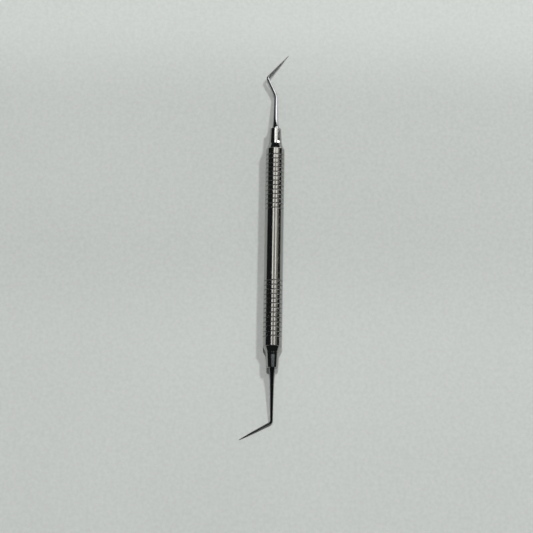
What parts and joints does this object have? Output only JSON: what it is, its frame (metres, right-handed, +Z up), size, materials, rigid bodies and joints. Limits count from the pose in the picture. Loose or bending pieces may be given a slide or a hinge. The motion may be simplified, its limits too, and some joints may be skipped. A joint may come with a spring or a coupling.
{
  "type": "double-ended scriber",
  "caption": "Double-ended steel scriber: ring-grooved round handle with a bent, needle-sharp point screwed into each end.",
  "frame": {"origin": "on the handle's axis, in the middle of the plain waist between the two grooved grip bands", "axes": "+Y along the handle towards the end with the doubly bent point, +Z up with the tool lying on a table 4 mm below the origin, +X to the right, away from the side that the lower needle points to"},
  "size_m": [0.0186, 0.1705, 0.008],
  "materials": {
    "handle_steel": "turned and polished stainless steel",
    "ferrule_steel": "turned and polished stainless steel",
    "point_steel": "ground and polished hardened stainless steel"
  },
  "bodies": {
    "handle": {"handle_tube": "handle_steel", "upper_bush": "handle_steel", "lower_bush": "handle_steel"},
    "upper_end": {"upper_ferrule": "ferrule_steel", "upper_point": "point_steel"},
    "lower_end": {"lower_ferrule": "ferrule_steel", "lower_point": "point_steel"}
  },
  "joints": [
    {"name": "upper_end_turn", "type": "hinge", "parent": "handle", "child": "upper_end", "pos_m": [0, 0.04522, 0], "axis": [0, 1, 0], "continuous": true},
    {"name": "lower_end_turn", "type": "hinge", "parent": "handle", "child": "lower_end", "pos_m": [0, -0.04652, 0], "axis": [0, 1, 0], "continuous": true}
  ]
}
